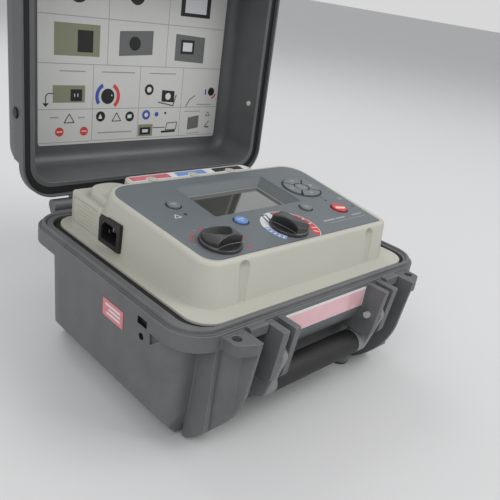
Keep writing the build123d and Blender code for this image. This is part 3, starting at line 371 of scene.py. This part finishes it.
def fascia_plates(name, shapes, tone, low=0.0, high=0.12):
    """A print, or painted shade, on the face of the panel."""
    flat_plates(name, shapes, on_panel, PRINT_AND_SHADE[tone], "base", low, high)


INK = 0.08          # thickness of a key symbol or a print on the card
FAINT = 0.06        # thickness of a print or painted shade that other parts come close to

# prints round the left knob
LEFT_U, LEFT_V = -84.5, 25.0
left_marks = [arc(LEFT_U, LEFT_V, radius - 1.6, radius + 1.6, a - 3.4, a + 3.4, 3)
              for a, radius in ((156, 22.6), (130, 22.0), (93, 22.0), (57, 22.6), (-8, 24.4), (-38, 26.2))]
fascia_plates("marks_left_knob", left_marks, "red")
green_marks = [arc(LEFT_U, LEFT_V, 22.0, 24.2, a - 2.2, a + 2.2, 3) for a in (176, 112, 76, 12, -23)]
fascia_plates("marks_left_green", green_marks, "green", high=INK)

# scale ring of the centre knob: white and red below, blue over the white, ticks on top
RING_U, RING_V = 1.2, 22.9
white_arcs = [arc(RING_U, RING_V, 20.2, 28.6, 92, 217, 36), arc(RING_U, RING_V, 28.3, 28.9, -54, 92, 40)]
fascia_plates("ring_white", white_arcs, "white")
fascia_plates("ring_red", [arc(RING_U, RING_V, 20.4, 28.3, -54, 84, 40)], "red")
pale_ticks = [arc(RING_U, RING_V, 22.0, 27.4, a - 1.5, a + 1.5, 2) for a in (62, 38, 16, -4, -23, -39)]
fascia_plates("ring_red_ticks", pale_ticks, "white", low=0.12, high=0.2)
icon = stroke([(-11.4, 48.4), (-6.1, 48.6), (-11.4, 34.9), (-15.6, 33.6)], 1.2, closed=True)
fascia_plates("ring_icon", icon, "black", low=0.12, high=0.2)
fascia_plates("ring_blue", [arc(RING_U, RING_V, 23.6, 28.6, 166, 217, 20)], "blue", low=0.12, high=0.18)
blue_ticks = [arc(RING_U, RING_V, 24.6, 28.0, a - 1.6, a + 1.6, 2) for a in (172, 182, 192, 202, 211)]
fascia_plates("ring_blue_ticks", blue_ticks, "white", low=0.18, high=0.24)

# painted shade: dark rings for the shadowed gaps round the keys
ROUND_KEYS = {
    "backlight": (-82.3, 90.3, 6.2), "mode": (-39.5, 46.8, 6.5),
    "set": (49.5, 47.6, 6.2), "test": (87.9, 35.2, 8.2),
}
ARROWS_U, ARROWS_V = 84.5, 86.0             # the middle of the arrow cluster
gap_shade_rings = []
for u, v, radius in ROUND_KEYS.values():
    gap_shade_rings += hoop(u, v, radius + 0.9, 1.0)
gap_shade_rings += hoop(ARROWS_U, ARROWS_V, 21.7, 1.3, 60)
fascia_plates("key_gap_shade_rings", gap_shade_rings, "black", high=FAINT)

# painted shadow: a dark line for the shadow gap along the fascia's front edge
fascia_plates("fascia_edge_shadow", stroke([(-100.5, 0.35), (111.0, 0.35)], 0.5), "dark", high=0.04)

# small marks by the keys, and plain bars in place of the nameplate
triangle = stroke([(-95.4, 69.5), (-88.6, 69.5), (-92.0, 75.2)], 0.8, closed=True)
fascia_plates("mark_triangle", triangle, "white")
fascia_plates("mark_line", [bar(88, 57.5, 88.8, 62.5)], "dark")
fascia_plates("mark_faint", [[(106.5, 50.5), (113.5, 50.5), (110, 56.5)]], "grey", high=FAINT)
bars = [bar(45, 18.4, 62, 20.6), bar(64, 18.4, 78, 20.6), bar(90, 19.0, 106, 20.6)]
fascia_plates("nameplate_bars", bars, "pale_grey")
lines = [bar(50, 14.0, 76, 14.8), bar(79, 14.0, 106, 14.8)]
fascia_plates("nameplate_lines", lines, "grey")

# key symbols ride on their keys
ROUND_KEY_TOP, ARROW_KEY_TOP = 1.8, 1.3     # how proud of the fascia the keys stand
KEY_SYMBOLS = (
    ("mode", "pale_blue", [bar(-43.2, 46.6, -35.8, 49.0), bar(-42.0, 43.6, -38.4, 45.4)]),
    ("set", "pale_grey", [bar(47.0, 47.4, 52.0, 48.2), bar(47.0, 45.4, 52.0, 46.2)]),
    ("backlight", "pale_grey", [bar(-85.6, 90.4, -79.4, 92.0), bar(-84.8, 87.8, -80.6, 88.8)]),
    ("test", "cream", [[(81.0, 33.2), (91.6, 30.2), (94.4, 33.4), (83.0, 37.6)]]),
)
for key, tone, shapes in KEY_SYMBOLS:
    flat_plates("symbol_" + key, shapes, raised(ROUND_KEY_TOP), PRINT_AND_SHADE[tone], "button_" + key, high=INK)


def by_arrows(angle, along, aside=0.0):
    """A point of the arrow cluster, from its middle along a direction in degrees and to its left."""
    turn = math.radians(angle)
    return (ARROWS_U + along * math.cos(turn) - aside * math.sin(turn),
            ARROWS_V + along * math.sin(turn) + aside * math.cos(turn))


for key, angle in {"arrow_right": 0, "arrow_up": 90, "arrow_left": 180, "arrow_down": 270}.items():
    tip = [by_arrows(angle, along, aside) for along, aside in ((17.0, 0.0), (13.2, 2.6), (13.2, -2.6))]
    flat_plates("symbol_" + key, [tip], raised(ARROW_KEY_TOP), PRINT_AND_SHADE["pale_grey"], key, high=INK)
# painted shade: dark spokes and a ring for the shadowed gaps between the arrow keys
gap_shade_spokes = []
for angle in (45, 135, 225, 315):
    gap_shade_spokes += stroke([by_arrows(angle, 9.2), by_arrows(angle, 20.8)], 1.1)
gap_shade_spokes += hoop(ARROWS_U, ARROWS_V, 8.5, 0.7, 40)
fascia_plates("arrow_gap_shade_spokes", gap_shade_spokes, "black", high=FAINT)
enter = hoop(ARROWS_U, ARROWS_V, 3.4, 0.8, 24)
flat_plates("symbol_enter", enter, raised(ARROW_KEY_TOP), PRINT_AND_SHADE["pale_grey"], "arrow_enter", high=INK)


# the display: a thin pale frame at the foot of the funnel
DISPLAY_DEPTH = -9.0


def frame_bars(u0, v0, u1, v1, width):
    """Four bars round the inside of a rectangle."""
    return [bar(u0, v0, u1, v0 + width), bar(u0, v1 - width, u1, v1),
            bar(u0, v0 + width, u0 + width, v1 - width), bar(u1 - width, v0 + width, u1, v1 - width)]


display_bars = frame_bars(-48.6, 72.4, 48.6, 116.6, 1.5)
flat_plates("display_frame", display_bars, raised(DISPLAY_DEPTH), BEZEL, "base", high=0.25)

# colour patches of the terminal strip, from u0 to u1, with a round bite in the lower edge
STRIP_LOW, STRIP_HIGH, STRIP_CORNER = 142.4, 151.0, 2.4
STRIP_FACE = 0.35                           # the strip's face above the fascia
BITE_RADIUS, BITE_DROP = 6.2, 0.5
STRIP = (
    ("red", -91.0, -46.0, -69.0, RED_LABEL),
    ("blue", -38.0, -1.0, -18.5, PRINT_AND_SHADE["blue"]),
    ("black", 10.0, 50.0, 31.0, PRINT_AND_SHADE["dark"]),
)


def around(cu, cv, radius, degrees):
    """Points on a circle at the given angles."""
    return [(cu + radius * math.cos(math.radians(a)), cv + radius * math.sin(math.radians(a)))
            for a in degrees]


def strip_patch(u0, u1, notch):
    """A patch with rounded upper corners and a round bite at its lower edge."""
    corner_v = STRIP_HIGH - STRIP_CORNER
    shape = around(u1 - STRIP_CORNER, corner_v, STRIP_CORNER, range(0, 91, 15))
    shape += around(u0 + STRIP_CORNER, corner_v, STRIP_CORNER, range(90, 181, 15))
    bite = around(notch, STRIP_LOW - BITE_DROP, BITE_RADIUS, range(170, 9, -10))
    return [(u1, STRIP_LOW)] + shape + [(u0, STRIP_LOW)] + bite


for tone, u0, u1, notch, finish in STRIP:
    patch = [strip_patch(u0, u1, notch)]
    flat_plates("strip_" + tone, patch, on_panel, finish, "base", low=STRIP_FACE, high=STRIP_FACE + 0.1)
bites = [disc(notch, STRIP_LOW, 5.0, 28) for _, _, _, notch, _ in STRIP]
flat_plates("strip_bites", bites, on_panel, BEIGE, "base", low=STRIP_FACE, high=STRIP_FACE + 0.07)

# front and side labels and rating plate: plain fields and bars in place of lettering
# the pale pink field carries painted sheen
flat_plates("front_field", [bar(-52.5, 91.4, 54.5, 108.6)], on_front, PINK_LABEL_WITH_SHEEN, "base", high=0.1)
side_bars = [bar(-11, 94.5, 11, 96.5), bar(-11, 90.6, 6, 92.6), bar(-11, 86.6, 9, 88.6)]
flat_plates("side_bars", side_bars, on_left, PRINT_AND_SHADE["white"], "base", high=0.1)
rows = [bar(-20, z, -20 + width, z + 1.1)
        for z, width in ((143, 22), (140, 34), (136.4, 30), (133, 35), (129.6, 20), (126, 28))]
flat_plates("rating_bars", rows, on_rating, PRINT_AND_SHADE["sand"], "base", high=FAINT)

# painted shade: black plates at the bottoms and on the sides of the slot and the hole moulded into the left
# wall, for the shade inside them
HOLE_Y, HOLE_Z = -70, 91.6
flat_plates("slot_shade_bottom", [bar(-76.8, 101.5, -64.2, 108.1)], on_wall, PRINT_AND_SHADE["black"], "base", high=0.3)
hole = [disc(HOLE_Y, HOLE_Z, 2.85, 24)]
flat_plates("hole_shade_bottom", hole, on_wall, PRINT_AND_SHADE["black"], "base", low=-0.25, high=0.1)
side_shade = [bar(-76.95, 101.35, -76.8, 108.25), bar(-64.2, 101.35, -64.05, 108.25),
           bar(-76.8, 101.35, -64.2, 101.5), bar(-76.8, 108.1, -64.2, 108.25)]
side_shade += hoop(HOLE_Y, HOLE_Z, 2.88, 0.14, 24)
flat_plates("wall_mark_side_shade", side_shade, on_wall, PRINT_AND_SHADE["black"], "base", low=0.3, high=2.9)


# ---------------------------------------------------------------- printed card in the lid
COATS = ((0.0, INK), (INK, 0.15), (0.15, 0.22))        # the first, second and third colour on the card


def card_print(name, shapes, tone, coat=0):
    """A print on the card, over the coats before it."""
    low, high = COATS[coat]
    flat_plates(name, shapes, on_card, PRINT_AND_SHADE[tone], "lid", low, high)


def tilted_box(a, b, width, height, lean):
    """A box whose right side stands higher by lean."""
    return [(a, b), (a + width, b + lean), (a + width, b + height + lean), (a, b + height)]


# grid between the panels of the card
card_lines = []
for row in (41.0, 88.0, 135.0):
    card_lines += stroke([(-113, row), (129, row)], 0.7)
for column in (-50.5, 9.5, 71.0):
    card_lines += stroke([(column, 6.5), (column, 88)], 0.6)
for column in (-34, 44):
    card_lines += stroke([(column, 88), (column, 188)], 0.6)
card_lines += stroke([(-113, 5.6), (129, 5.6)], 0.6)
card_print("card_grid", card_lines, "grey")

# fields of the pictograms
olive = [bar(-97, 48, -60, 66), bar(10.5, 7.5, 31, 21.5), bar(-96, 96, -44, 128)]
card_print("card_olive", olive, "olive")
grey = [tilted_box(84, 12.5, 17.5, 15.5, 2.5), tilted_box(-20, 98, 44, 26, 3), tilted_box(56, 96, 44, 30, -2)]
grey += stroke([(36.5, 47.6), (59, 43), (63, 56)], 1.6) + stroke([(79, 41.5), (84, 50), (92, 55)], 1.4)
card_print("card_grey", grey, "mid_grey")

# dark shapes: knobs, plugs and displays, then the lines and small signs between them
black = [
    bar(-77, 49.5, -63.5, 62), disc(-31.9, 54.5, 8.4), disc(-40.1, 32.4, 5.7), disc(-2.0, 31.5, 5.8),
    disc(22.9, 62.0, 6.2), disc(118.0, 60.0, 5.2, 28), tilted_box(41.5, 48.2, 18.5, 13.5, -1.2),
    bar(13, 9.3, 28, 18),
]
black += stroke([(-96.3, 57.6), (-102.5, 57.6), (-104.8, 54.8), (-104.9, 47.6)], 0.9)
black += [[(-108.4, 47.6), (-101.4, 47.6), (-104.9, 43.8)]]
black += stroke([(-84, 26.6), (-72.3, 26.6), (-78, 36.0)], 0.9, closed=True)
black += stroke([(-25.3, 26.8), (-13.8, 26.8), (-19.6, 36.2)], 0.9, closed=True)
black += stroke([(31.6, 17.3), (49, 17.0)], 0.8)
black += stroke([(50.5, 13.6), (66, 14), (67, 23), (52, 22), (50.5, 13.6)], 0.9)
black += [tilted_box(44, 10.4, 21, 2.4, 0.4), disc(48.5, 34.4, 1.5, 16), bar(112.5, 14.5, 119.5, 16)]
black += stroke([(112.5, 16.5), (119, 22.8)], 0.9)
black += stroke([(112.5, 29.5), (119.5, 29.5), (116, 34.5)], 0.7, closed=True)
black += [
    bar(-70, 100, -52, 122), disc(0, 112, 7.5), bar(64, 104, 84, 120),
    disc(-70, 160, 12), disc(0, 162, 10), bar(60, 146, 104, 178),
]
card_print("card_black", black, "black", coat=1)

# pale centres of the dark shapes
white = [
    disc(50.7, 54.2, 4.0, 24), bar(16.5, 12, 24.5, 15.6), [(-43, 30), (-38, 30), (-40.6, 35.6)],
    tilted_box(-5, 29.4, 5.4, 4.0, 0.5), disc(-27.0, 55.6, 0.9, 12), disc(22.9, 62, 3.2, 20),
    bar(-72.8, 54.2, -71.8, 57.4), bar(-69, 54.2, -68, 57.4), bar(66, 150, 98, 172), bar(67, 107, 81, 117),
]
card_print("card_white_marks", white, "white", coat=2)

# coloured discs and the arcs round the drawn knobs
red = [
    disc(-89.3, 17.0, 4.9), disc(-60.3, 16.8, 4.9),
    arc(-31.9, 54.5, 11.5, 15.6, -50, 60), arc(118.0, 60.0, 7.0, 9.0, -80, -20, 8),
]
card_print("card_red", red, "red", coat=1)
blue = [
    disc(20.8, 32.8, 5.6), arc(-31.9, 54.5, 11.5, 15.6, 118, 215),
    disc(35.7, 33.2, 2.8, 20), bar(108, 56, 110, 63),
]
card_print("card_blue", blue, "deep_blue", coat=1)
pale = stroke([(-92.4, 17), (-86.2, 17)], 1.2) + stroke([(-63.4, 16.8), (-57.2, 16.8)], 1.2)
card_print("card_pale_bars", pale + [disc(20.8, 32.8, 2.6, 24)], "white", coat=2)

# plain bars in place of lines of print
text_rows = [
    bar(-100, 31.8, -90.5, 33.2), bar(-68, 31.2, -59.8, 32.6), bar(-43.5, 13.4, 1.7, 14.8),
    bar(78, 35.2, 103, 36.2), bar(96, 43.4, 120, 44.6), bar(84, 7.6, 104, 8.6),
    bar(-90, 80, -60, 81.2), bar(-40, 80, 2, 81.2), bar(22, 80, 60, 81.2),
]
card_print("card_lines_of_print", text_rows, "grey")


# ---------------------------------------------------------------- floor and light
FLOOR_REACH = 60.0
WORLD_TINT, WORLD_STRENGTH = (0.94, 0.95, 0.97, 1), 0.6
SEEN_GREY = 0.68        # what the camera sees beyond the floor

floor_mesh = bpy.data.meshes.new("floor")
floor_corners = [(x * FLOOR_REACH, y * FLOOR_REACH, 0.0) for x, y in ((-1, -1), (1, -1), (1, 1), (-1, 1))]
floor_mesh.from_pydata(floor_corners, [], [(0, 1, 2, 3)])
floor_mesh.materials.append(
    material("floor_pale", srgb(212, 212, 212), 0.75, mottle=0.01, mottle_scale=0.4, specular=0.2))
floor = bpy.data.objects.new("floor", floor_mesh)
bpy.context.scene.collection.objects.link(floor)


def area_light(name, where, target, size, power):
    """A soft rectangular lamp that looks at the target."""
    lamp = bpy.data.objects.new(name, bpy.data.lights.new(name, "AREA"))
    lamp.data.shape = "RECTANGLE"
    lamp.data.size, lamp.data.size_y = size
    lamp.data.energy = power
    lamp.location = where
    lamp.rotation_mode = "QUATERNION"
    lamp.rotation_quaternion = (Vector(target) - Vector(where)).to_track_quat("-Z", "Y")
    bpy.context.scene.collection.objects.link(lamp)


area_light("key", (1.5, -1.7, 2.6), (0, 0, 0.1), (1.8, 1.8), 40)
area_light("fill", (-2.0, -1.0, 1.9), (0, 0, 0.1), (1.8, 1.8), 22)
area_light("rim", (0.3, 1.8, 1.9), (0, 0.1, 0.1), (1.8, 1.2), 14)
world = bpy.data.worlds.new("studio")
world.use_nodes = True
tree = world.node_tree
soft = tree.nodes["Background"]
soft.inputs["Color"].default_value = WORLD_TINT
soft.inputs["Strength"].default_value = WORLD_STRENGTH
seen = tree.nodes.new("ShaderNodeBackground")
seen.inputs["Color"].default_value = (SEEN_GREY, SEEN_GREY, SEEN_GREY, 1)
kind = tree.nodes.new("ShaderNodeLightPath")
choose = tree.nodes.new("ShaderNodeMixShader")
tree.links.new(kind.outputs["Is Camera Ray"], choose.inputs["Fac"])
tree.links.new(soft.outputs["Background"], choose.inputs[1])
tree.links.new(seen.outputs["Background"], choose.inputs[2])
tree.links.new(choose.outputs["Shader"], tree.nodes["World Output"].inputs["Surface"])
bpy.context.scene.world = world
bpy.context.scene.view_settings.view_transform = "Standard"
